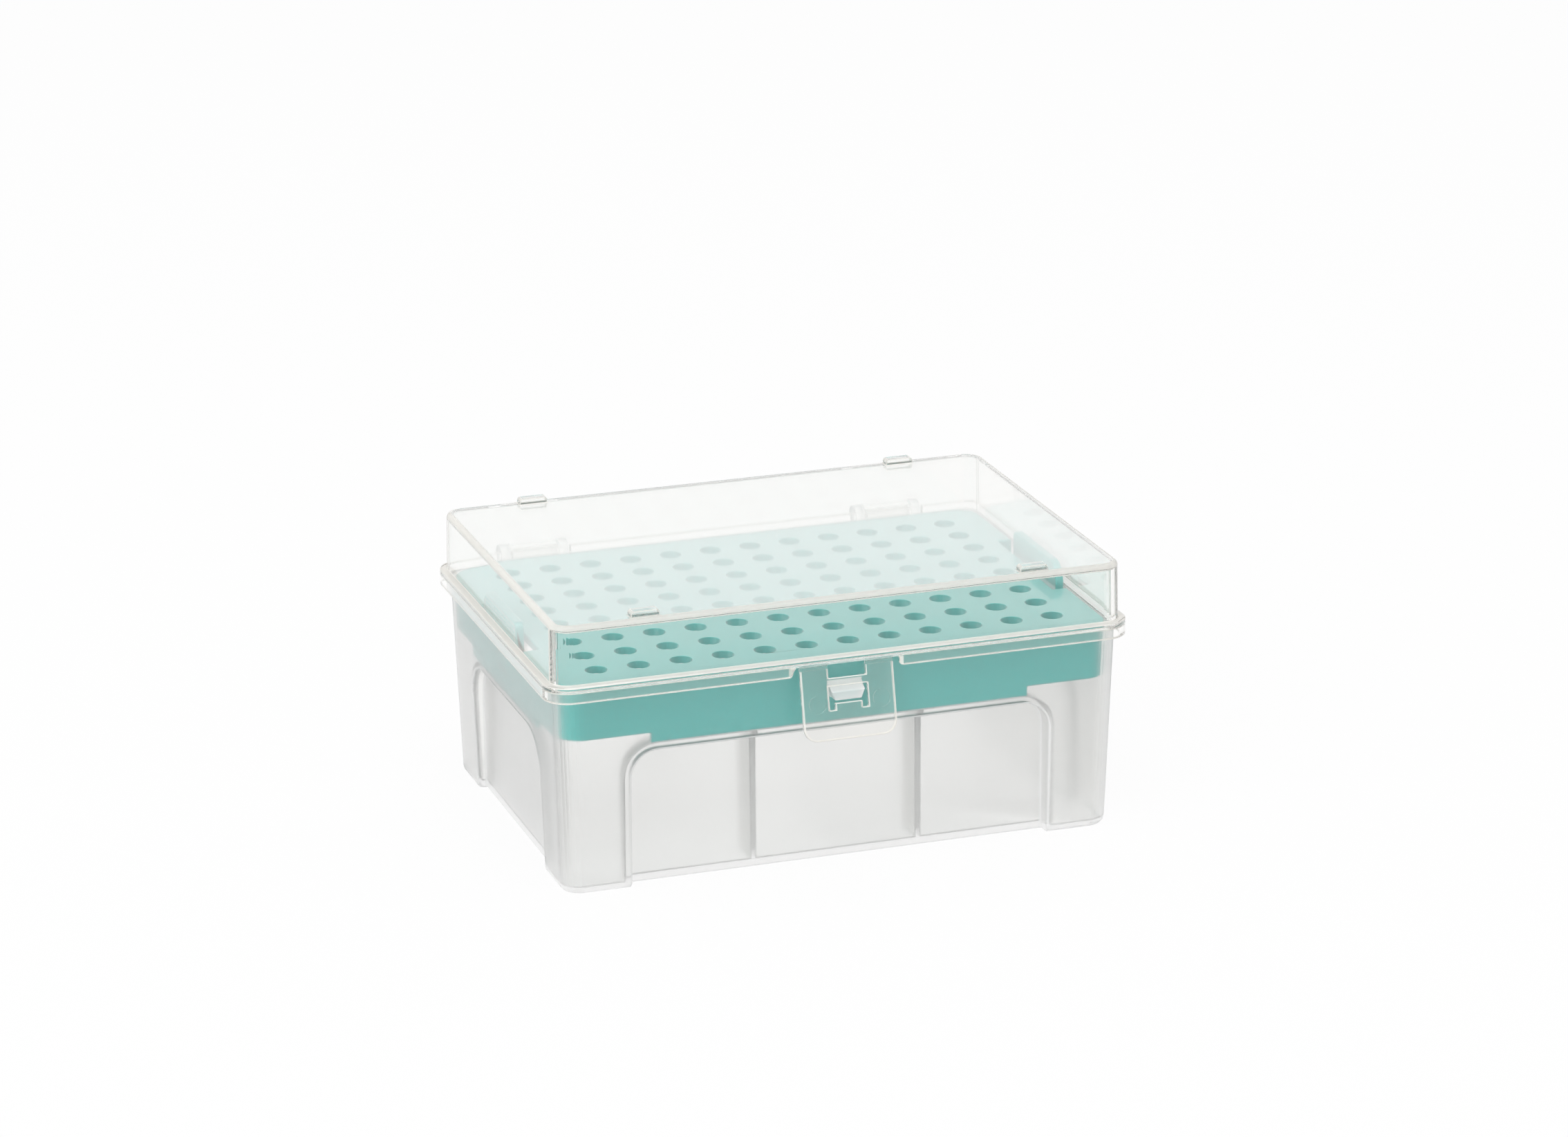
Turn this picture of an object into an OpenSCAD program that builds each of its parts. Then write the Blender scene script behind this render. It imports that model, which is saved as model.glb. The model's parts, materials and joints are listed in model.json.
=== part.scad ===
// Box for pipette tips: a frosted base, a lift-out rack with a 96-hole grid,
// a clear hinged lid, and a front latch flap that hangs from the lid.
// X runs along the rows, Y from the front to the back, and Z up from the bench.

/* [Tip grid] */
// Distance between the centres of neighbouring tip holes
tip_pitch = 9; // [7:0.25:11]
// Number of tip holes along X
tip_columns = 12; // [8:1:14]
// Number of tip holes along Y
tip_rows = 8; // [6:1:10]
// Diameter of a tip hole
tip_hole_d = 4.6; // [3:0.1:6]

/* [Rack] */
// From the last hole's centre to the end of the rack
rack_end_margin = 9.6; // [8:0.1:14]
// From the last hole's centre to the long side of the rack
rack_side_margin = 8.85; // [7:0.05:12]
// How much larger the radius of the rack's corners is than that inside the base
rack_corner_extra = 1.5; // [0:0.1:3]
// Thickness of the holed plate
plate_t = 1.6; // [1:0.1:2.5]
// Thickness of the rack's skirt
rack_skirt_t = 1.5; // [1:0.1:2]
// How far the plate stands above the rim of the base
rack_rise = 0.5; // [0.2:0.1:1]
// How far the skirt stops short of the ledge at the four corners
skirt_corner_lift = 2.25; // [1:0.05:4]
// Length along X of each corner where the skirt is lifted
skirt_corner_x = 18.4; // [14:0.1:24]
// Length along Y of each corner where the skirt is lifted
skirt_corner_y = 15.85; // [12:0.05:20]

/* [Grip tabs] */
// Height of a tab above the plate
tab_rise = 4; // [2:0.1:6]
// Thickness of a tab
tab_t = 1.8; // [1:0.1:2]
// Width of the finger slot between a tab and the plate
tab_slot_w = 1.3; // [0.8:0.1:2]
// Half of the slot's length along Y
tab_slot_half = 15.9; // [13:0.1:20]
// From the slot's end to the tab, on the tab's rounded side
tab_gap_short = 1.6; // [1:0.1:3]
// From the slot's end to the tab, on the other side
tab_gap_long = 5.7; // [3:0.1:8]
// Radius of the tab's large upper corner
tab_corner_r = 3.6; // [1.5:0.1:3.9]
// Radius of the tab's small upper corner
tab_small_r = 1.4; // [0.5:0.1:2]
// How far the slits beside a tab run down the skirt
tab_slit_h = 2.9; // [2:0.1:6]
// Width of the snap bead below each tab
bead_w = 5.9; // [3:0.1:9]
// Height of the snap bead
bead_h = 3; // [2:0.1:4]
// How far the bead stands out of the skirt
bead_out = 0.7; // [0.4:0.05:0.8]
// From the ledge up to the middle of the bead
bead_up = 6.65; // [4:0.05:9]

/* [Base] */
// Height of the base, from the bench to its rim
base_h = 44.3; // [36:0.1:60]
// Thickness of the base's walls
wall_t = 1.2; // [1:0.1:2]
// Thickness of the base's floor
floor_t = 1.3; // [1:0.1:2.5]
// Draft of the outer walls, in degrees
draft = 1.65; // [0.5:0.05:2]
// Outer radius of the base's upright corners
base_corner_r = 4.5; // [4:0.1:8]
// Radius round the base's bottom edge
bottom_r = 1.5; // [0.5:0.1:2.5]
// From the rim down to the ledge that carries the rack
ledge_drop = 13.45; // [11:0.05:16]
// Depth of the long recesses at the rim's line
side_recess_in = 4.6; // [3:0.1:6]
// Depth of the end recesses at the rim's line
end_recess_in = 3.45; // [2.5:0.05:5]
// Length of a corner foot along X
foot_x = 15.6; // [12:0.1:20]
// Length of a corner foot along Y
foot_y = 16.3; // [13:0.1:20]
// Upper corner radius of the long recesses
side_recess_r = 5.75; // [2:0.05:8]
// Upper corner radius of the end recesses
end_recess_r = 8.5; // [3:0.1:10]
// Distance between the two ribs inside each long panel
rib_spacing = 36; // [20:1:50]
// Thickness of a rib
rib_t = 0.9; // [0.6:0.1:1.5]
// How far a rib stands into the base
rib_in = 8; // [3:0.5:10]

/* [Lid] */
// Height of the lid's top above the rim of the base
lid_rise = 13.9; // [12:0.1:24]
// Thickness of the lid's walls
lid_wall_t = 1.4; // [1:0.1:2]
// Thickness of the lid's top
lid_top_t = 1.5; // [1:0.1:2.5]
// Inner radius of the lid's upright corners
lid_in_r = 2.6; // [1.5:0.1:3.5]
// Room between the rack's edge and the lid's walls
lid_room = 0.85; // [0.6:0.05:1.2]
// Draft of the lid's walls, in degrees
lid_draft = 0.9; // [0:0.1:2]
// Radius round the lid's top edge
lid_edge_r = 1; // [0.5:0.1:1.3]
// How far the flange stands out of the lid's walls
flange_out = 1.5; // [1.3:0.1:2.5]
// Thickness of the flange
flange_t = 1.4; // [1:0.1:2]
// Thickness of the skirt below the flange
lid_skirt_t = 1.15; // [0.8:0.05:1.3]
// How far the skirt hangs below the flange
lid_skirt_h = 2.1; // [1:0.1:2.4]
// Half of the skirt's gap above the latch
latch_relief_half = 11.4; // [11:0.1:20]
// From the lid's end to the middle of a stacking lug
lug_from_end = 19.6; // [12:0.1:30]
// Length of a stacking lug
lug_l = 6.1; // [3:0.1:12]
// Depth of a stacking lug
lug_w = 2.4; // [1.5:0.1:4]
// Height of a stacking lug
lug_h = 1.3; // [0.8:0.1:2]
// Radius of a lug's upper corners
lug_r = 0.7; // [0.2:0.1:0.8]

/* [Hinge] */
// Distance between the outer faces of one hinge's two ears
hinge_w = 15; // [10:0.5:20]
// From the end of the base to the middle of a hinge
hinge_from_end = 20.3; // [14:0.1:30]
// Thickness of an ear
ear_t = 2; // [1.5:0.1:3]
// Diameter of a hinge pin
pin_d = 2.4; // [1.6:0.1:2.8]
// Wall of the clip round the pin, and of the ear round the pin
clip_t = 1.15; // [0.9:0.05:1.2]
// Width of the mouth that the pin snaps through
clip_mouth = 2; // [1.4:0.1:2.2]
// From the flange's edge back to the pin's axis
pin_back = 1.6; // [1.5:0.05:2.5]
// How far down the gussets below the ears reach
gusset_h = 8; // [5:0.5:12]
// Where a gusset's sloping edge meets its ear, in degrees below the pin's level
gusset_meet = 30; // [20:5:45]
// From the lid's wall to the cuts that let the ears through
ear_notch_off = 0.2; // [0.1:0.05:0.5]

/* [Latch] */
// Width of the latch flap
latch_w = 20.1; // [14:0.1:22]
// Length of the flap, from the hinge line to its lower edge
latch_l = 15.2; // [14:0.1:20]
// Thickness of the flap
latch_t = 1.2; // [1:0.1:1.4]
// Outward lean of the closed flap, in degrees
latch_lean = 12.5; // [10:0.5:15]
// Radius of the flap's lower corners
latch_r = 3; // [1:0.1:5]
// Width of the notch between the two hinge strips
notch_w = 8.1; // [6:0.1:12]
// From the hinge line down to the notch's lower edge
notch_drop = 2.4; // [1.5:0.1:3]
// Thickness of the bending strips
strip_t = 0.5; // [0.3:0.05:0.7]
// From the hinge line down to the full thickness of the flap
strip_l = 0.45; // [0.4:0.05:0.6]
// From the flange's edge in to the hinge line
strip_in = 0.9; // [0.8:0.05:1.1]
// Width of the tongue that catches below the hook
tongue_w = 5.8; // [3:0.1:7]
// Length of the slots beside the tongue
tongue_l = 1.4; // [0.5:0.1:3]
// Radius of the two engraved circles
ring_r = 2; // [1:0.1:2.2]
// From the flap's middle to the centre of an engraved circle
ring_x = 6.9; // [6:0.1:8]
// From the hinge line to the centre of an engraved circle
ring_drop = 7.5; // [5:0.1:11]

/* [Hook] */
// Width of the hook at its top
hook_w = 7.2; // [4:0.1:8]
// Width of the hook at its underside
hook_low_w = 5.7; // [3:0.1:7]
// From the rim down to the hook's ramp, at the wall
hook_drop = 4.2; // [3.8:0.1:6]
// Height of the hook at its root
hook_h = 3.4; // [2.5:0.1:4]
// Height of the hook's front face
hook_face_h = 1.9; // [1:0.1:2.2]

/* [Clearances] */
// Between the rack's skirt and the base, beside the ledge
rack_gap = 0.15; // [0.1:0.05:0.3]
// Round the snap bead in its dimple
bead_gap = 0.15; // [0.1:0.05:0.3]
// Between the closed lid and the base's rim
lid_gap = 0.1; // [0.05:0.05:0.3]
// Between a hinge pin and its clip, on the radius
pin_gap = 0.07; // [0.03:0.01:0.1]
// Between an ear and the lid beside it
ear_gap = 0.35; // [0.2:0.05:0.6]
// Between the hook and each side of its window
hook_side_gap = 0.6; // [0.3:0.1:1]
// Between the hook's ramp and the window above it
hook_top_gap = 0.25; // [0.2:0.05:0.5]
// Between the hook's underside and the tongue
tongue_gap = 0.3; // [0.25:0.05:0.6]
// Across the bending line between the lid and the flap
strip_gap = 0.05; // [0.03:0.01:0.1]

/* [Hidden] */
$fn = 48;
// Facets round the corners of the drafted shells
shell_fn = 32;
// Angle between the facets of a drafted shell's rounded edge
edge_step = 30;
// Height of the thin slabs that a drafted shell spans
slab_t = 0.01;
// How far a cut runs past the face it opens, and a boss into its wall
over = 0.5;
// Depth and width of the engraved circles
ring_deep = 0.15;
ring_line = 0.25;

// Heights
ledge_z = base_h - ledge_drop;
recess_top_z = ledge_z - wall_t;
plate_z = base_h + rack_rise;
flange_z = base_h + lid_gap;
flange_top_z = flange_z + flange_t;
lid_skirt_z = flange_z - lid_skirt_h;
lid_top_z = base_h + lid_rise;

// Half lengths and half widths, as [x, y]
grid_half = [(tip_columns - 1) * tip_pitch / 2, (tip_rows - 1) * tip_pitch / 2];
rack_half = grid_half + [rack_end_margin, rack_side_margin];
base_half = rack_half + (rack_gap + wall_t + tan(draft) * ledge_drop) * [1, 1];
lid_in_half = rack_half + lid_room * [1, 1];
lid_half = lid_in_half + lid_wall_t * [1, 1];
flange_half = lid_half + flange_out * [1, 1];
base_in_r = base_corner_r - wall_t;
rack_r = base_in_r + rack_corner_extra;
lid_r = lid_in_r + lid_wall_t;
flange_r = lid_r + flange_out;

// Recessed panels of the base
side_panel_y = base_half[1] - side_recess_in;
end_panel_x = base_half[0] - end_recess_in;
side_recess_half = base_half[0] - foot_x;
end_recess_half = base_half[1] - foot_y;

// Grip tab and bead
tab_in_x = rack_half[0] - tab_t;
slot_in_x = tab_in_x - tab_slot_w;
tab_y0 = -tab_slot_half + tab_gap_short;
tab_y1 = tab_slot_half - tab_gap_long;
tab_top_z = plate_z + tab_rise;
bead_z = ledge_z + bead_up;

// Hinge
hinge_x = base_half[0] - hinge_from_end;
pin_y = flange_half[1] + pin_back;
pin_z = base_h;
ear_r = pin_d / 2 + clip_t;
clip_w = hinge_w - 2 * ear_t - 2 * ear_gap;
hinge_notch_w = hinge_w + 2 * ear_gap;
ear_notch_y = lid_half[1] + ear_notch_off;

// Latch: its hinge line, and the faces of the leaning flap at a height z
latch_y = -(flange_half[1] - strip_in);
latch_z = flange_z - strip_t / 2 - strip_l;
strip_w = (latch_w - notch_w) / 2;
function flap_mid_y(z) = latch_y - (latch_z - z) * tan(latch_lean);
function flap_face_y(z) = flap_mid_y(z) - latch_t / 2 / cos(latch_lean);
function flap_back_y(z) = flap_mid_y(z) + latch_t / 2 / cos(latch_lean);
function flap_drop(z) = (latch_z - z) / cos(latch_lean);

// Hook: its face lies flush with the flap
hook_top_z = base_h - hook_drop;
hook_low_z = hook_top_z - hook_h;
hook_face_top_z = hook_low_z + hook_face_h;
hook_root_y = -(base_half[1] - tan(draft) * hook_drop);
hook_face_y = flap_face_y(hook_face_top_z);
function hook_ramp_z(y) = hook_top_z
    - (hook_top_z - hook_face_top_z) * (y - hook_root_y) / (hook_face_y - hook_root_y);
window_w = hook_w + 2 * hook_side_gap;
window_top_z = hook_ramp_z(flap_back_y(hook_top_z)) + hook_top_gap;
tongue_drop = flap_drop(hook_low_z - tongue_gap) + latch_t / 2 * tan(latch_lean);

// Half size of the base's outer wall at a height z
function base_half_at(z) = base_half - tan(draft) * (base_h - z) * [1, 1];
// Half size of the lid's outer wall at a height z
function lid_half_at(z) = lid_half - tan(lid_draft) * (z - flange_z) * [1, 1];

module rounded_rect(half, r) {
    square([2 * (half[0] - r), 2 * half[1]], center = true);
    square([2 * half[0], 2 * (half[1] - r)], center = true);
    for (x = [-1, 1], y = [-1, 1])
        translate([x * (half[0] - r), y * (half[1] - r)]) circle(r);
}

module slab(half, r, z) {
    translate([0, 0, z]) linear_extrude(slab_t) rounded_rect(half, r, $fn = shell_fn);
}

// Straight block with rounded upright corners
module block(half, r, z0, z1) {
    translate([0, 0, z0]) linear_extrude(z1 - z0) rounded_rect(half, r);
}

// Repeats the children half a turn round the upright axis
module each_end() {
    for (turn = [0, 180]) rotate([0, 0, turn]) children();
}

// Copies the children to the left and the right
module each_hand() {
    for (side = [0, 1]) mirror([side, 0, 0]) children();
}

// Upright outline of a recess: open below, with rounded upper corners
module recess_outline(half_w, top, r) {
    translate([-half_w, -over]) square([2 * half_w, top - r + over]);
    translate([-(half_w - r), 0]) square([2 * (half_w - r), top]);
    for (side = [-1, 1]) translate([side * (half_w - r), top - r]) circle(r);
}

// The four recesses, grown by a wall on their inner side
module recesses(grow) {
    each_end() {
        translate([0, grow - side_panel_y, 0]) rotate([90, 0, 0])
            linear_extrude(side_recess_in + over + grow)
                recess_outline(side_recess_half + grow, recess_top_z + grow, side_recess_r + grow);
        translate([end_panel_x - grow, 0, 0]) rotate([90, 0, 90])
            linear_extrude(end_recess_in + over + grow)
                recess_outline(end_recess_half + grow, recess_top_z + grow, end_recess_r + grow);
    }
}

// Drafted outside of the base, rounded along its bottom edge
module base_outside() {
    hull() {
        for (a = [0:edge_step:90])
            slab(base_half_at(0) - bottom_r * (1 - sin(a)) * [1, 1],
                 base_corner_r - bottom_r * (1 - sin(a)), bottom_r * (1 - cos(a)));
        slab(base_half, base_corner_r, base_h - slab_t);
    }
}

module base_inside() {
    hull() {
        slab(base_half_at(floor_t) - wall_t * [1, 1], base_in_r, floor_t);
        slab(base_half - wall_t * [1, 1], base_in_r, base_h);
    }
}

module rib() {
    translate([-rib_t / 2, -side_panel_y + wall_t / 2, floor_t / 2])
        cube([rib_t, rib_in + wall_t / 2, ledge_z - floor_t / 2]);
}

module hook() {
    intersection() {
        translate([-hook_w / 2, 0, 0]) rotate([90, 0, 90]) linear_extrude(hook_w)
            polygon([[hook_root_y + wall_t / 2, hook_low_z], [hook_face_y, hook_low_z],
                     [hook_face_y, hook_face_top_z], [hook_root_y, hook_top_z],
                     [hook_root_y + wall_t / 2, hook_top_z]]);
        rotate([90, 0, 0]) linear_extrude(over - hook_face_y)
            polygon([[-hook_low_w / 2, hook_low_z], [hook_low_w / 2, hook_low_z],
                     [hook_w / 2, hook_face_top_z], [hook_w / 2, hook_top_z],
                     [-hook_w / 2, hook_top_z], [-hook_w / 2, hook_face_top_z]]);
    }
}

// Ear and gusset that carry one end of a hinge pin
module ear() {
    root_y = base_half[1] - wall_t;
    translate([0, pin_y, pin_z]) rotate([0, 90, 0]) cylinder(r = ear_r, h = ear_t);
    rotate([90, 0, 90]) linear_extrude(ear_t)
        polygon([[root_y, pin_z - gusset_h], [root_y, pin_z - ear_r / 2], [pin_y, pin_z],
                 [pin_y + ear_r * cos(gusset_meet), pin_z - ear_r * sin(gusset_meet)]]);
}

module hinge_support() {
    for (side = [0, 1])
        translate([hinge_x - hinge_w / 2 + side * (hinge_w - ear_t), 0, 0]) ear();
    translate([hinge_x - hinge_w / 2 + ear_t / 2, pin_y, pin_z]) rotate([0, 90, 0])
        cylinder(d = pin_d, h = hinge_w - ear_t);
}

// Shallow dimples that the rack's beads snap into
module bead_dimples() {
    dimple_w = bead_w + 2 * bead_gap;
    dimple_h = bead_h + 2 * bead_gap;
    each_end() translate([rack_half[0] - over, -dimple_w / 2, bead_z - dimple_h / 2])
        cube([over + bead_out + bead_gap, dimple_w, dimple_h]);
}

module base() {
    color("gainsboro") {
        difference() {
            base_outside();
            difference() {
                base_inside();
                recesses(wall_t);
            }
            recesses(0);
            bead_dimples();
        }
        each_end() each_hand() translate([rib_spacing / 2, 0, 0]) rib();
        hook();
        each_hand() hinge_support();
    }
}

// Upright outline of a grip tab, with one large and one small upper corner
module tab_outline() {
    difference() {
        translate([tab_y0, ledge_z]) square([tab_y1 - tab_y0, tab_top_z - ledge_z]);
        translate([tab_y0, tab_top_z]) corner_waste(tab_corner_r);
        translate([tab_y1, tab_top_z]) mirror([1, 0]) corner_waste(tab_small_r);
    }
}

// What rounding takes off an upper left corner at the origin
module corner_waste(r) {
    difference() {
        translate([-over, -r]) square([r + over, r + over]);
        translate([r, -r]) circle(r);
    }
}

module tab() {
    translate([tab_in_x, 0, 0]) rotate([90, 0, 90]) linear_extrude(tab_t) tab_outline();
    translate([tab_in_x, -bead_w / 2, bead_z - bead_h / 2]) cube([tab_t + bead_out, bead_w, bead_h]);
}

// Slot behind a tab, and the slits at its two ends
module tab_slot() {
    translate([slot_in_x, -tab_slot_half, plate_z - tab_slit_h])
        cube([rack_half[0] - slot_in_x + over, 2 * tab_slot_half, tab_slit_h + over]);
}

module rack() {
    color("mediumaquamarine") {
        difference() {
            block(rack_half, rack_r, ledge_z, plate_z);
            block(rack_half - rack_skirt_t * [1, 1], rack_r - rack_skirt_t, ledge_z - over,
                  plate_z - plate_t);
            for (x = [0, 1], y = [0, 1]) mirror([x, 0, 0]) mirror([0, y, 0])
                translate([rack_half[0] - skirt_corner_x, rack_half[1] - skirt_corner_y, ledge_z - over])
                    cube([skirt_corner_x + over, skirt_corner_y + over, skirt_corner_lift + over]);
            each_end() tab_slot();
            for (column = [0:tip_columns - 1], row = [0:tip_rows - 1])
                translate([column * tip_pitch - grid_half[0], row * tip_pitch - grid_half[1],
                           plate_z - plate_t - over])
                    cylinder(d = tip_hole_d, h = plate_t + 2 * over);
        }
        each_end() tab();
    }
}

// Drafted outside of the lid, rounded along its top edge
module lid_outside() {
    hull() {
        slab(lid_half, lid_r, flange_z);
        for (a = [0:edge_step:90])
            slab(lid_half_at(lid_top_z) - lid_edge_r * (1 - cos(a)) * [1, 1],
                 lid_r - lid_edge_r * (1 - cos(a)),
                 lid_top_z - lid_edge_r * (1 - sin(a)) - slab_t);
    }
}

module lid_inside() {
    hull() {
        slab(lid_in_half, lid_in_r, flange_z - over);
        slab(lid_half_at(lid_top_z - lid_top_t) - lid_wall_t * [1, 1], lid_in_r,
             lid_top_z - lid_top_t - slab_t);
    }
}

module lug() {
    rotate([90, 0, 0]) linear_extrude(lug_w) difference() {
        translate([-lug_l / 2, -over]) square([lug_l, lug_h + over]);
        for (side = [0, 1]) mirror([side, 0]) translate([-lug_l / 2, lug_h]) corner_waste(lug_r);
    }
}

// Clip that snaps down over a hinge pin
module hinge_clip() {
    bore_r = pin_d / 2 + pin_gap;
    translate([hinge_x - clip_w / 2, pin_y, pin_z]) {
        difference() {
            union() {
                rotate([0, 90, 0]) cylinder(r = ear_r, h = clip_w);
                translate([0, flange_half[1] - pin_y - over, flange_z - pin_z])
                    cube([clip_w, pin_back + over, flange_t]);
            }
            translate([-over, 0, 0]) rotate([0, 90, 0]) cylinder(r = bore_r, h = clip_w + 2 * over);
            translate([-over, -clip_mouth / 2, -ear_r - over])
                cube([clip_w + 2 * over, clip_mouth, ear_r + over]);
        }
    }
}

// Cuts in the flange that let the ears and their gussets through
module hinge_notches() {
    translate([hinge_x - hinge_notch_w / 2, ear_notch_y, lid_skirt_z - over])
        cube([hinge_notch_w, flange_half[1] - ear_notch_y + over, lid_skirt_h + over]);
    for (side = [0, 1])
        translate([hinge_x - hinge_notch_w / 2 + side * (hinge_notch_w - ear_t - 2 * ear_gap),
                   ear_notch_y, lid_skirt_z])
            cube([ear_t + 2 * ear_gap, flange_half[1] - ear_notch_y + over,
                  lid_skirt_h + flange_t + over]);
}

module lid() {
    color("whitesmoke", 0.4) {
        difference() {
            union() {
                lid_outside();
                block(flange_half, flange_r, lid_skirt_z, flange_top_z);
            }
            lid_inside();
            block(flange_half - lid_skirt_t * [1, 1], flange_r - lid_skirt_t, lid_skirt_z - over, flange_z);
            translate([-latch_relief_half, -flange_half[1] - over, lid_skirt_z - over])
                cube([2 * latch_relief_half, lid_skirt_t + 2 * over, lid_skirt_h + over]);
            each_hand() hinge_notches();
        }
        for (x = [-1, 1], y = [-1, 1])
            translate([x * (lid_half[0] - lug_from_end),
                       y * (lid_half_at(lid_top_z)[1] - lid_edge_r - lug_w / 2) + lug_w / 2, lid_top_z])
                lug();
        each_hand() hinge_clip();
        hinge_strips_top();
    }
}

// Lid's share of the two bending strips
module hinge_strips_top() {
    low_z = latch_z + strip_t / 2 + strip_gap;
    each_hand() translate([notch_w / 2, latch_y - strip_t / 2, low_z])
        cube([strip_w, strip_t, flange_z - low_z + over]);
}

// The flap in its own plane: x across, and y down from the hinge line
module latch_outline() {
    window_top = flap_drop(window_top_z);
    difference() {
        union() {
            translate([-latch_w / 2, strip_l]) square([latch_w, latch_l - latch_r - strip_l]);
            translate([-latch_w / 2 + latch_r, strip_l]) square([latch_w - 2 * latch_r, latch_l - strip_l]);
            for (side = [-1, 1])
                translate([side * (latch_w / 2 - latch_r), latch_l - latch_r]) circle(latch_r);
        }
        translate([-notch_w / 2, strip_l - over]) square([notch_w, notch_drop - strip_l + over]);
        translate([-window_w / 2, window_top]) square([window_w, tongue_drop - window_top]);
        for (side = [0, 1]) mirror([side, 0])
            translate([tongue_w / 2, tongue_drop - over])
                square([(window_w - tongue_w) / 2, tongue_l + over]);
    }
}

module latch() {
    color("whitesmoke", 0.4)
    translate([0, latch_y, latch_z]) rotate([-latch_lean, 0, 0]) {
        difference() {
            translate([0, latch_t / 2, 0]) rotate([90, 0, 0]) linear_extrude(latch_t)
                mirror([0, 1]) latch_outline();
            for (side = [-1, 1])
                translate([side * ring_x, -latch_t / 2 + ring_deep, -ring_drop]) rotate([90, 0, 0])
                    difference() {
                        cylinder(r = ring_r, h = 2 * ring_deep);
                        translate([0, 0, -ring_deep]) cylinder(r = ring_r - ring_line, h = 4 * ring_deep);
                    }
        }
        each_hand() translate([notch_w / 2, 0, 0]) {
            rotate([0, 90, 0]) cylinder(d = strip_t, h = strip_w);
            translate([0, -strip_t / 2, -strip_l - over]) cube([strip_w, strip_t, strip_l + over]);
        }
    }
}

base();
rack();
lid();
latch();
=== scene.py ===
"""A box for pipette tips: a frosted base, a teal rack, and a clear lid with a clear latch."""

import json
import math

import bmesh
import bpy
from mathutils import Euler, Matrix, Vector

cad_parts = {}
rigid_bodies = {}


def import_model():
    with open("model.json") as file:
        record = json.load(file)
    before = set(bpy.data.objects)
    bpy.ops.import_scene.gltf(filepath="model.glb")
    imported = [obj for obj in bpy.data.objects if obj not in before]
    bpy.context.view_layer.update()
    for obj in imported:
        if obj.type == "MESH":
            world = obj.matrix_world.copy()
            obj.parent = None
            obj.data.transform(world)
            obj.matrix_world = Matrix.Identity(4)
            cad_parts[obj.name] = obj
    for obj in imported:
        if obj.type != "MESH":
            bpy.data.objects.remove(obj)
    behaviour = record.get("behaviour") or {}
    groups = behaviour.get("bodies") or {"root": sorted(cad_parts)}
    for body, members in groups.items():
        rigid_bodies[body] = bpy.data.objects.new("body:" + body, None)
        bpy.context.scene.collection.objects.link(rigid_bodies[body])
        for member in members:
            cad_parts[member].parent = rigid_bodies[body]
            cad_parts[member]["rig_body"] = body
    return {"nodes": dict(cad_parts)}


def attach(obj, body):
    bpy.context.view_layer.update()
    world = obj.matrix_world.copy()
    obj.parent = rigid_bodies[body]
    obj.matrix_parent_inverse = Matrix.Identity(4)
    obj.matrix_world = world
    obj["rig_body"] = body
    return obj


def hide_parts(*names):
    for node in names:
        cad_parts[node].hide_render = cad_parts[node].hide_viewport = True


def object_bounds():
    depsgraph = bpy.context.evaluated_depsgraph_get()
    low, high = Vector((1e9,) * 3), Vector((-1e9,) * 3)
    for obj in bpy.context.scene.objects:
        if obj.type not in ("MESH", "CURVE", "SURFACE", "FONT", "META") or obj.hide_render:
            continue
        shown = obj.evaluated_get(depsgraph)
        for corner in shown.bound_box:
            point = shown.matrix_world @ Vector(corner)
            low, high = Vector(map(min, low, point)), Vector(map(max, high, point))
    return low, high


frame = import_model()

MM = 0.001
cad_lo, cad_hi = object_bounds()
scene = bpy.context.scene

# The camera: its direction and roll in degrees, the point it aims at, and its lens in mm
VIEW_AZIMUTH, VIEW_ELEVATION, VIEW_ROLL = -18.71, 18.13, -0.5
VIEW_TARGET = Vector((3.41, 5.36, 48.84)) * MM
VIEW_DISTANCE = 1052.35 * MM
LENS, SENSOR = 114.1, 36.0

# The nearest and the farthest that the camera sees, in metres
NEAREST, FARTHEST = 0.05, 50.0

# Light bounces often inside the clear walls before it leaves them
BOUNCES = 64

# Points this close, in mm, are one point, and faces that bend less than DISSOLVE are one face
WELD = 0.02
DISSOLVE = math.radians(0.3)

# Faces that bend less than FLAT are shaded as one, and edges that bend more than SHARP stay sharp
FLAT, SHARP = math.radians(0.5), math.radians(38)

# Edges that bend more than ROUNDED are rounded, and no radius, in mm, exceeds LARGEST_RADIUS
ROUNDED = math.radians(35)
LARGEST_RADIUS = 1.5

# A piece's finishes, which are its materials in this order: its walls, its duller roundings, and for
# the lid and the base one more, on the lid's top and on the base's underside. The duller roundings
# paint the light and shade along the edges: cream highlights on the clear parts and grey on the
# base. The lid top's milky face is a painted reflection, and the base's duller underside is painted
# shade.
WALLS, ROUNDINGS, EXTRA = 0, 1, 2


# ---------------------------------------------------------------- places

# Zones of the box, by their limits in mm in the shared frame. The two ends of the box are
# alike, so the sign of x doesn't count.

ANY = (-math.inf, math.inf)


def above(value):
    return (value, math.inf)


def below(value):
    return (-math.inf, value)


def zone(x=ANY, y=ANY, z=ANY):
    return (x, y, z)


def holds(limits, x, y, z):
    """Whether a place lies in the zone with these limits."""
    return all(low < value < high for value, (low, high) in zip((abs(x), y, z), limits))


def radius_by_zone(rules, x, y, z):
    """The radius that the first rule gives whose zone holds a place."""
    return next(radius for limits, radius in rules.values() if holds(limits, x, y, z))


# Radii of the edges, in mm, by where an edge's middle lies

BASE_RADII = {
    "hinge supports": (zone(y=above(41.5), z=above(35)), 0.0),
    "hook": (zone(x=below(3.8), y=below(-41.2), z=above(36)), 0.2),
    "bead dimples": (zone(x=above(58.5), y=(-3.5, 3.5), z=above(31)), 0.12),
    "rim": (zone(z=above(44)), 0.22),
    "ribs": (zone(x=(17.4, 18.6), y=(-41, 41)), 0.25),
    "other edges": (zone(), 0.45),
}

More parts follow.
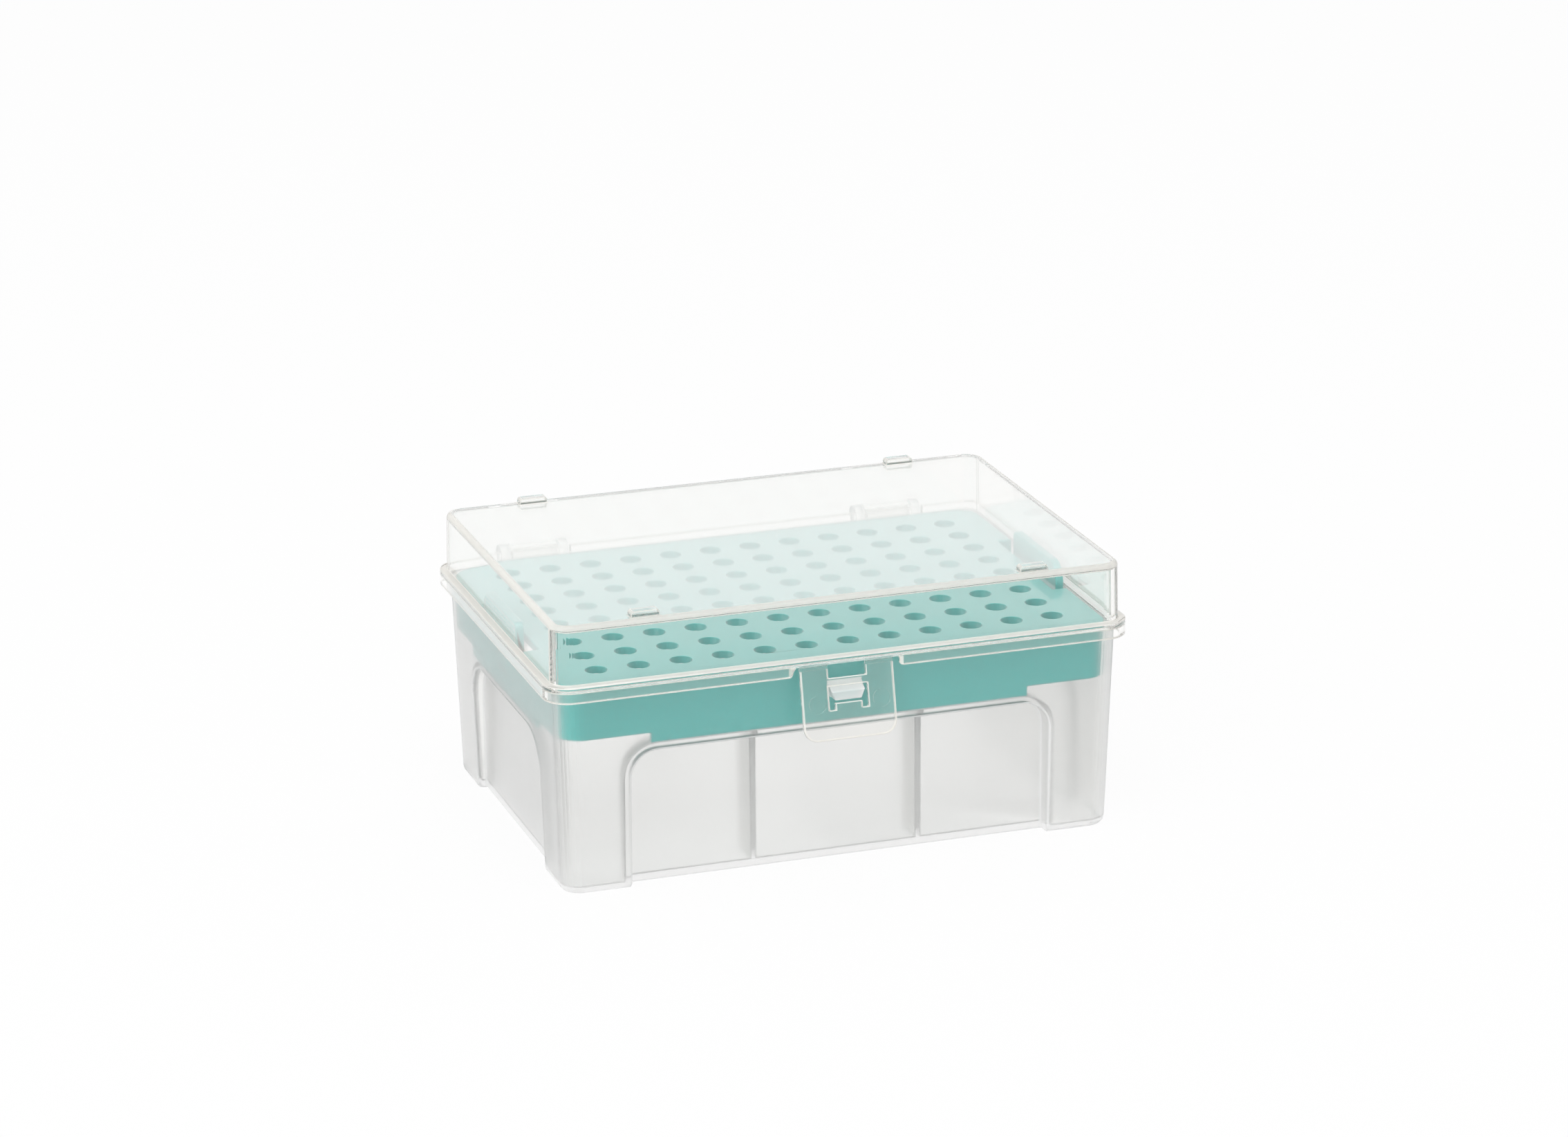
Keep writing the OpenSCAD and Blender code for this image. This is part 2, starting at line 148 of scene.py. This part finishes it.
RACK_RADII = {
    "underside of the plate": (zone(z=(43.0, 43.4)), 0.0),
    "rims of the tip holes": (zone(x=below(52.5), y=(-34.5, 34.5), z=above(44.6)), 0.12),
    "other edges": (zone(), 0.3),
}

LID_RADII = {
    "hinge clips": (zone(x=(32, 49), y=above(42.7)), 0.0),
    "narrow strip behind the rear wall": (zone(y=(42.4, 43), z=(45, 46)), 0.0),
    "lower ends of the latch's relief": (zone(x=(11, 12), y=below(-42.5), z=below(43.5)), 0.85),
    "upper ends of the latch's relief": (zone(x=(11, 12), y=below(-42.5)), 0.5),
    "bending strips": (zone(x=below(10.5), y=below(-42.5), z=below(44.5)), 0.0),
    "lower edge of the skirt": (zone(z=below(43)), 0.25),
    "ends of the flange": (zone(x=above(62.5), z=below(46)), 0.35),
    "front of the flange": (zone(y=below(-43.8), z=below(46)), 0.35),
    "rear of the flange": (zone(y=above(43.8), z=below(46)), 0.35),
    "other edges": (zone(), 0.2),
}

# The latch leans by LATCH_LEAN degrees, so places on it go by their drop, in mm, along it from
# its bending line. Its edges stay sharp at the two bending strips and at its engraved rings,
# whose centres lie at RING_X and RING_DROP.
LATCH_TOP, LATCH_LEAN = 43.7, 12.5
STRIPS_DROP = 1.0
RING_X, RING_DROP, RING_RADIUS = 6.9, 7.5, 2.0
NEAR_RING = 0.5
WINDOW_HALF, WINDOW_DROP = 4.5, 12
WINDOW_EDGE_RADIUS, LATCH_EDGE_RADIUS = 0.2, 0.35


def base_radius(x, y, z):
    return radius_by_zone(BASE_RADII, x, y, z)


def rack_radius(x, y, z):
    return radius_by_zone(RACK_RADII, x, y, z)


def lid_radius(x, y, z):
    return radius_by_zone(LID_RADII, x, y, z)


def latch_radius(x, y, z):
    drop = (LATCH_TOP - z) / math.cos(math.radians(LATCH_LEAN))
    from_ring = math.hypot(abs(x) - RING_X, drop - RING_DROP) - RING_RADIUS
    if abs(from_ring) < NEAR_RING or drop < STRIPS_DROP:
        return 0.0
    if abs(x) < WINDOW_HALF and drop < WINDOW_DROP:
        return WINDOW_EDGE_RADIUS
    return LATCH_EDGE_RADIUS


# Finishes of the faces, by where a face's middle lies and how its normal turns. A normal's z is
# above LEVEL on a level face that looks up, and within UPRIGHT of 0 on an upright one. On the
# facets of the lid's corners that turn a little away from the ends, its x lies within
# CORNER_TURN. The base's underside, where the normal's z is below UNDERSIDE_TURN, takes in the
# lowest facets of its bottom rounding.

LEVEL, UPRIGHT = 0.99, 0.1
CORNER_TURN = (0.96, 0.999)
LID_TOP_Z, LID_SHOULDER_Z = 58, 57
FLANGE_TOP_Z = (45, 46)
HOOK_FACES = zone(x=below(3.8), y=below(-42.0), z=above(36))
UNDERSIDE_Z, UNDERSIDE_TURN = 0.3, -0.9


def all_walls(x, y, z, normal):
    """The same finish everywhere but on the roundings."""
    return WALLS


def lid_finish(x, y, z, normal):
    """The lid's corners, shoulder and flange take the dull cream finish, a painted highlight, and
    the outer face of its top is milky, a painted reflection.
    """
    shoulder = z > LID_SHOULDER_Z and UPRIGHT < normal.z < LEVEL
    flange = FLANGE_TOP_Z[0] < z < FLANGE_TOP_Z[1] and normal.z > LEVEL
    turned = CORNER_TURN[0] < abs(normal.x) < CORNER_TURN[1]
    corner = z > FLANGE_TOP_Z[1] and turned and abs(normal.z) < UPRIGHT
    # Painted highlight: the corners, shoulder and flange top take the cream roundings finish
    if shoulder or flange or corner:
        return ROUNDINGS
    # Painted reflection: the outer face of the top takes the milky finish
    return EXTRA if z > LID_TOP_Z and normal.z > LEVEL else WALLS


def base_finish(x, y, z, normal):
    """The hook, which the mould leaves duller than the walls, and the underside, made duller as
    painted shade, so that the base's bottom edge shows a grey outline.
    """
    # Painted shade: the underside's duller finish darkens the bottom edge where the base meets the
    # floor
    if z < UNDERSIDE_Z and normal.z < UNDERSIDE_TURN:
        return EXTRA
    return ROUNDINGS if holds(HOOK_FACES, x, y, z) else WALLS


# ---------------------------------------------------------------- shapes

def joined_copy(node):
    """The CAD node's shape with its seams closed and its flat faces in one piece each.
    It is cut along the two planes through its middle first, because Blender would fill the
    largest faces, which run round it as rings, wrongly."""
    bm = bmesh.new()
    bm.from_mesh(frame["nodes"][node].data)
    bmesh.ops.remove_doubles(bm, verts=bm.verts, dist=WELD * MM)
    for normal in ((1, 0, 0), (0, 1, 0)):
        everything = bm.verts[:] + bm.edges[:] + bm.faces[:]
        cut = bmesh.ops.bisect_plane(bm, geom=everything, plane_co=(0, 0, 0), plane_no=normal)
        for part in cut["geom_cut"]:
            if isinstance(part, bmesh.types.BMEdge):
                part.seam = True
    bmesh.ops.dissolve_limit(bm, angle_limit=DISSOLVE, verts=bm.verts, edges=bm.edges,
                             delimit={"SEAM"})
    return bm


def mark_roundings(bm, radius_at):
    """Notes on each sharp edge the radius, as a share of the largest, for its middle."""
    weight = bm.edges.layers.float.new("bevel_weight_edge")
    for edge in bm.edges:
        if edge.is_manifold and edge.calc_face_angle(0) > ROUNDED:
            x, y, z = (edge.verts[0].co + edge.verts[1].co) / 2 / MM
            edge[weight] = radius_at(x, y, z) / LARGEST_RADIUS


def rounded_mesh(name, bm, segments, materials):
    """The shape as a mesh, with its marked edges rounded."""
    mesh = bpy.data.meshes.new(name)
    for material in materials:
        mesh.materials.append(material)
    bm.to_mesh(mesh)
    bm.free()
    draft = bpy.data.objects.new(name + "_draft", mesh)
    scene.collection.objects.link(draft)
    bevel = draft.modifiers.new("edges", "BEVEL")
    bevel.limit_method = "WEIGHT"
    bevel.width = LARGEST_RADIUS * MM
    bevel.segments = segments
    bevel.use_clamp_overlap = False
    # The new faces of each rounding take the duller finish, which on the clear parts and the base
    # paints light and shade along the edges
    bevel.material = ROUNDINGS
    graph = bpy.context.evaluated_depsgraph_get()
    result = bpy.data.meshes.new_from_object(draft.evaluated_get(graph))
    result.name = name
    bpy.data.objects.remove(draft)
    bpy.data.meshes.remove(mesh)
    return result


def flat_groups(bm):
    """Each face's flat group, and each group's area: faces join across edges that don't bend."""
    group_of, areas = {}, []
    for start in bm.faces:
        if start in group_of:
            continue
        group_of[start] = len(areas)
        open_faces, area = [start], 0.0
        while open_faces:
            face = open_faces.pop()
            area += face.calc_area()
            for edge in face.edges:
                for other in edge.link_faces:
                    if other not in group_of and other.normal.angle(start.normal, 0) < FLAT:
                        group_of[other] = len(areas)
                        open_faces.append(other)
        areas.append(area)
    return group_of, areas


def corner_normal(loop, group_of, areas):
    """The mean normal of the groups that meet smoothly at a face's corner, by their areas."""
    seen, fan, total = {loop.face}, [loop.face], Vector()
    counted = set()
    while fan:
        face = fan.pop()
        group = group_of[face]
        if group not in counted:
            counted.add(group)
            total += face.normal * areas[group]
        for edge in face.edges:
            if loop.vert in edge.verts and edge.calc_face_angle(math.pi) < SHARP:
                for other in edge.link_faces:
                    if other not in seen:
                        seen.add(other)
                        fan.append(other)
    return total.normalized()


def even_normals(mesh):
    """Shades flat faces flat, and lets the rounded edges turn smoothly between them."""
    bm = bmesh.new()
    bm.from_mesh(mesh)
    bm.normal_update()
    group_of, areas = flat_groups(bm)
    normals = [corner_normal(loop, group_of, areas) for face in bm.faces for loop in face.loops]
    bm.free()
    mesh.shade_smooth()
    mesh.normals_split_custom_set(normals)


def nothing_more(bm):
    """No shapes beyond the CAD node's own."""


def piece(name, node, materials, radius_at, finish_at=all_walls, add=nothing_more, segments=3):
    """Makes a rounded copy of a CAD node that stands for it and rides on its body."""
    bm = joined_copy(node)
    for face in bm.faces:
        x, y, z = face.calc_center_median() / MM
        face.material_index = finish_at(x, y, z, face.normal)
    mark_roundings(bm, radius_at)
    add(bm)
    mesh = rounded_mesh(name, bm, segments, materials)
    even_normals(mesh)
    obj = bpy.data.objects.new(name, mesh)
    scene.collection.objects.link(obj)
    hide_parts(node)
    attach(obj, frame["nodes"][node]["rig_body"])


# The grip on the rack's two finger tabs: rows of low studs, each row set off by half a step.
# Sizes and limits are in mm, and a stud's crown is a share of its radius and of its height.
# Nothing of the rack but its tabs rises above TAB_FOOT.

STUD_STEP, STUD_ROW = 1.15, 0.92
STUD_SIDES, STUD_RADIUS, STUD_HEIGHT = 8, 0.42, 0.16
STUD_SINK = 0.1
CROWN_RADIUS, CROWN_HEIGHT = 0.6, 0.75
GRIP_Y, GRIP_Z = (-8.9, 12.4), (41.2, 47.9)
TAB_FOOT = 45.0


def stud(bm, x, y, z, out):
    """A low round stud, closed and sunk a little into a wall that faces along x."""
    outline = ((1.0, -STUD_SINK), (1.0, 0.0), (CROWN_RADIUS, CROWN_HEIGHT * STUD_HEIGHT))
    rings = []
    for across, up in outline:
        ring = []
        for corner in range(STUD_SIDES):
            angle = corner * math.tau / STUD_SIDES
            offset = Vector((out * up, across * STUD_RADIUS * math.cos(angle),
                             across * STUD_RADIUS * math.sin(angle)))
            ring.append(bm.verts.new((Vector((x, y, z)) + offset) * MM))
        rings.append(ring if out > 0 else ring[::-1])
    for low, high in zip(rings, rings[1:]):
        for corner in range(STUD_SIDES):
            after = (corner + 1) % STUD_SIDES
            bm.faces.new((low[corner], low[after], high[after], high[corner]))
    tip = bm.verts.new(Vector((x + out * STUD_HEIGHT, y, z)) * MM)
    crown = rings[-1]
    for corner in range(STUD_SIDES):
        bm.faces.new((crown[corner], crown[(corner + 1) % STUD_SIDES], tip))
    bm.faces.new(rings[0][::-1])


def grip_studs(bm):
    """Studs all over the outer face of each tab; the two ends are each other turned by 180°."""
    face_x = max(vert.co.x for vert in bm.verts if vert.co.z > TAB_FOOT * MM) / MM
    rows = int((GRIP_Z[1] - GRIP_Z[0]) / STUD_ROW) + 1
    for row in range(rows):
        z = GRIP_Z[0] + row * STUD_ROW
        start = GRIP_Y[0] + (row % 2) * STUD_STEP / 2
        for column in range(int((GRIP_Y[1] - start) / STUD_STEP) + 1):
            y = start + column * STUD_STEP
            stud(bm, -face_x, y, z, -1)
            stud(bm, face_x, -y, z, 1)


# ------------------------------------------------------------- materials

# Relief that the mould leaves: how many waves go to the metre, and their depth in mm
POLISHED, SATIN, GRAINED, ETCHED = (60, 0.004), (200, 0.001), (120, 0.01), (900, 0.01)

# Refractive indices. A coat's index sets how strongly it mirrors, and the coat of the clear
# parts mirrors only faintly.
PLASTIC_IOR, TEAL_IOR = 1.49, 1.8
COAT_IOR, CLEAR_COAT_IOR = 1.5, 1.3


def math_node(tree, operation, first, second):
    """The result of a math node on a socket and a socket or number."""
    node = tree.nodes.new("ShaderNodeMath")
    node.operation = operation
    tree.links.new(first, node.inputs[0])
    if isinstance(second, (int, float)):
        node.inputs[1].default_value = second
    else:
        tree.links.new(second, node.inputs[1])
    return node.outputs[0]


def mould_relief(tree, shader, waves, depth):
    """Low bumps on the whole surface, so many to the metre and so deep in mm."""
    place = tree.nodes.new("ShaderNodeTexCoord")
    noise = tree.nodes.new("ShaderNodeTexNoise")
    noise.inputs["Scale"].default_value = waves
    noise.inputs["Detail"].default_value = 3
    bump = tree.nodes.new("ShaderNodeBump")
    bump.inputs["Distance"].default_value = depth * MM
    tree.links.new(place.outputs["Object"], noise.inputs["Vector"])
    tree.links.new(noise.outputs["Fac"], bump.inputs["Height"])
    tree.links.new(bump.outputs["Normal"], shader.inputs["Normal"])


def let_lamps_through(tree, shader, share):
    """Lets a share of the lamps' light through the plastic, so that what is inside is lit."""
    out = tree.nodes["Material Output"]
    rays = tree.nodes.new("ShaderNodeLightPath")
    clear = tree.nodes.new("ShaderNodeBsdfTransparent")
    mix = tree.nodes.new("ShaderNodeMixShader")
    passed = math_node(tree, "MULTIPLY", rays.outputs["Is Shadow Ray"], share)
    tree.links.new(passed, mix.inputs["Fac"])
    tree.links.new(shader.outputs["BSDF"], mix.inputs[1])
    tree.links.new(clear.outputs["BSDF"], mix.inputs[2])
    tree.links.new(mix.outputs[0], out.inputs["Surface"])


def plastic(name, colour, roughness, relief, transmission=0.0, lamps=0.0, ior=PLASTIC_IOR):
    """A moulded plastic. lamps is the share of the lamps' light that it lets through."""
    mat = bpy.data.materials.new(name)
    mat.use_nodes = True
    tree = mat.node_tree
    shader = tree.nodes["Principled BSDF"]
    shader.inputs["Base Color"].default_value = (*colour, 1)
    shader.inputs["Roughness"].default_value = roughness
    shader.inputs["Transmission Weight"].default_value = transmission
    shader.inputs["IOR"].default_value = ior
    mould_relief(tree, shader, *relief)
    if lamps:
        let_lamps_through(tree, shader, lamps)
    return mat


def gloss(mat, roughness, ior):
    """Puts a glossy skin over a plastic."""
    shader = mat.node_tree.nodes["Principled BSDF"]
    shader.inputs["Coat Weight"].default_value = 1.0
    shader.inputs["Coat Roughness"].default_value = roughness
    shader.inputs["Coat IOR"].default_value = ior


def sheen(mat, weight, roughness):
    """Lightens a plastic where it is seen at a low angle."""
    shader = mat.node_tree.nodes["Principled BSDF"]
    shader.inputs["Sheen Weight"].default_value = weight
    shader.inputs["Sheen Roughness"].default_value = roughness


def glassy(name, colour, transmission):
    """A clear plastic with a polished face."""
    mat = plastic(name, colour, 0.03, POLISHED, transmission, lamps=0.92)
    gloss(mat, 0.03, CLEAR_COAT_IOR)
    return mat


def clear_plastic():
    return glassy("clear_styrene", (0.995, 0.99, 0.975), transmission=1.0)


def lid_top_painted_reflection():
    """The outer face of the lid's top, made partly milky: a painted reflection, which stands in for
    the pale veil that the top mirrors where it is seen at a low angle.
    """
    return glassy("lid_top_painted_reflection", (0.995, 0.99, 0.98), transmission=0.7)


def clear_edge_painted_highlight():
    """The clear parts' roundings and the lid's corners, in a dull cream: a painted highlight, which
    stands in for the cream lines of light along those edges.
    """
    return plastic("clear_edge_painted_highlight", (0.985, 0.96, 0.91), 0.4, SATIN, transmission=0.4, lamps=0.8)


def frosted_plastic():
    return plastic("frosted_propylene", (1.0, 1.0, 0.99), 0.3, ETCHED, transmission=1.0, lamps=0.95)


# Painted shading on the base's roundings: this greyer, duller finish makes its edges show as soft
# grey lines. The hook takes it as its own duller finish.
def frosted_edge():
    return plastic("frosted_edge", (0.92, 0.92, 0.915), 0.5, ETCHED, transmission=0.4, lamps=0.9)


# Painted shade: a duller, less clear underside, which greys the base's bottom edge
def frosted_underside_painted_shade():
    return plastic("frosted_underside_painted_shade", (1.0, 1.0, 0.99), 0.5, ETCHED, transmission=0.85, lamps=0.95)


def teal_plastic():
    mat = plastic("teal_propylene", (0.045, 0.49, 0.455), 0.3, GRAINED, ior=TEAL_IOR)
    gloss(mat, 0.06, COAT_IOR)
    sheen(mat, 0.6, 0.5)
    return mat


# ---------------------------------------------------------------- pieces

def make_pieces():
    clear = [clear_plastic(), clear_edge_painted_highlight(), lid_top_painted_reflection()]
    frosted = [frosted_plastic(), frosted_edge(), frosted_underside_painted_shade()]
    teal = teal_plastic()
    piece("clear_lid", "lid", clear, lid_radius, lid_finish)
    piece("clear_latch", "latch", clear, latch_radius)
    piece("frosted_base", "base", frosted, base_radius, base_finish)
    piece("teal_rack", "rack", [teal, teal], rack_radius, add=grip_studs, segments=2)


# ---------------------------------------------------------------- studio

# The world is 1 where it shows, and WORLD_LIGHT where it lights a surface. Where the floor shows,
# FLOOR_GLOW of it is plain white, and the rest is card that the lamps light.
WORLD_LIGHT = 0.6
FLOOR_GLOW = 0.93
# Half the floor's side, in metres
FLOOR_HALF = 4.0
FLOOR_WHITE = (0.9, 0.9, 0.9, 1)
PURE_WHITE = (1, 1, 1, 1)


def direction(azimuth, elevation):
    """From the box outwards, in degrees: azimuth 0 is the front, and 90 the right end."""
    a, e = math.radians(azimuth), math.radians(elevation)
    return Vector((math.sin(a) * math.cos(e), -math.cos(a) * math.cos(e), math.sin(e)))


def background_share(tree):
    """1 where the background shows as such: seen straight, mirrored, or through clear plastic.
    It is 0 where it only lights a surface, with or without plastic in between."""
    rays = tree.nodes.new("ShaderNodeLightPath")
    seen = rays.outputs["Is Camera Ray"]
    for name in ("Is Glossy Ray", "Is Transmission Ray"):
        seen = math_node(tree, "MAXIMUM", seen, rays.outputs[name])
    not_yet_diffuse = math_node(tree, "LESS_THAN", rays.outputs["Diffuse Depth"], 0.5)
    return math_node(tree, "MULTIPLY", seen, not_yet_diffuse)


def white_world():
    world = bpy.data.worlds.new("studio")
    scene.world = world
    world.use_nodes = True
    tree = world.node_tree
    seen = tree.nodes["Background"]
    seen.inputs["Color"].default_value = PURE_WHITE
    seen.inputs["Strength"].default_value = 1.0
    light = tree.nodes.new("ShaderNodeBackground")
    light.inputs["Color"].default_value = PURE_WHITE
    light.inputs["Strength"].default_value = WORLD_LIGHT
    mix = tree.nodes.new("ShaderNodeMixShader")
    tree.links.new(background_share(tree), mix.inputs["Fac"])
    tree.links.new(light.outputs[0], mix.inputs[1])
    tree.links.new(seen.outputs[0], mix.inputs[2])
    tree.links.new(mix.outputs[0], tree.nodes["World Output"].inputs["Surface"])


def floor_material():
    """White card that glows where it shows, so that it looks about as white as the world."""
    mat = bpy.data.materials.new("floor_white")
    mat.use_nodes = True
    tree = mat.node_tree
    shader = tree.nodes["Principled BSDF"]
    shader.inputs["Base Color"].default_value = FLOOR_WHITE
    shader.inputs["Roughness"].default_value = 0.9
    shader.inputs["Specular IOR Level"].default_value = 0.0
    glow = tree.nodes.new("ShaderNodeEmission")
    glow.inputs["Strength"].default_value = 1.0
    mix = tree.nodes.new("ShaderNodeMixShader")
    glow_share = math_node(tree, "MULTIPLY", background_share(tree), FLOOR_GLOW)
    tree.links.new(glow_share, mix.inputs["Fac"])
    tree.links.new(shader.outputs["BSDF"], mix.inputs[1])
    tree.links.new(glow.outputs[0], mix.inputs[2])
    tree.links.new(mix.outputs[0], tree.nodes["Material Output"].inputs["Surface"])
    return mat


def white_floor():
    mesh = bpy.data.meshes.new("floor")
    signs = ((-1, -1), (1, -1), (1, 1), (-1, 1))
    corners = [(x * FLOOR_HALF, y * FLOOR_HALF, cad_lo.z) for x, y in signs]
    mesh.from_pydata(corners, [], [(0, 1, 2, 3)])
    mesh.materials.append(floor_material())
    floor = bpy.data.objects.new("floor", mesh)
    scene.collection.objects.link(floor)


def softbox(name, azimuth, elevation, distance, width, height, radiance):
    """A soft lamp that faces the box. Its distance, width and height are in metres, and radiance
    says how bright its face is."""
    lamp = bpy.data.lights.new(name, "AREA")
    lamp.shape = "RECTANGLE"
    lamp.size, lamp.size_y = width, height
    lamp.energy = radiance * math.pi * width * height
    obj = bpy.data.objects.new(name, lamp)
    outwards = direction(azimuth, elevation)
    obj.location = (cad_lo + cad_hi) / 2 + outwards * distance
    obj.rotation_euler = outwards.to_track_quat("Z", "Y").to_euler()
    scene.collection.objects.link(obj)


def studio():
    white_world()
    white_floor()
    softbox("key", azimuth=-55, elevation=25, distance=1.8, width=1.6, height=1.2, radiance=1.4)
    softbox("overhead", azimuth=-19, elevation=70, distance=1.8, width=1.4, height=1.2, radiance=2.7)


def camera():
    data = bpy.data.cameras.new("camera")
    data.lens, data.sensor_width = LENS, SENSOR
    data.clip_start, data.clip_end = NEAREST, FARTHEST
    cam = bpy.data.objects.new("camera", data)
    outwards = direction(VIEW_AZIMUTH, VIEW_ELEVATION)
    cam.location = VIEW_TARGET + outwards * VIEW_DISTANCE
    roll = Euler((0, 0, math.radians(VIEW_ROLL))).to_matrix()
    cam.rotation_euler = (outwards.to_track_quat("Z", "Y").to_matrix() @ roll).to_euler()
    scene.collection.objects.link(cam)
    scene.camera = cam


make_pieces()
studio()
camera()
scene.view_settings.view_transform = "Standard"
scene.cycles.max_bounces = scene.cycles.transmission_bounces = BOUNCES
scene.cycles.glossy_bounces = BOUNCES
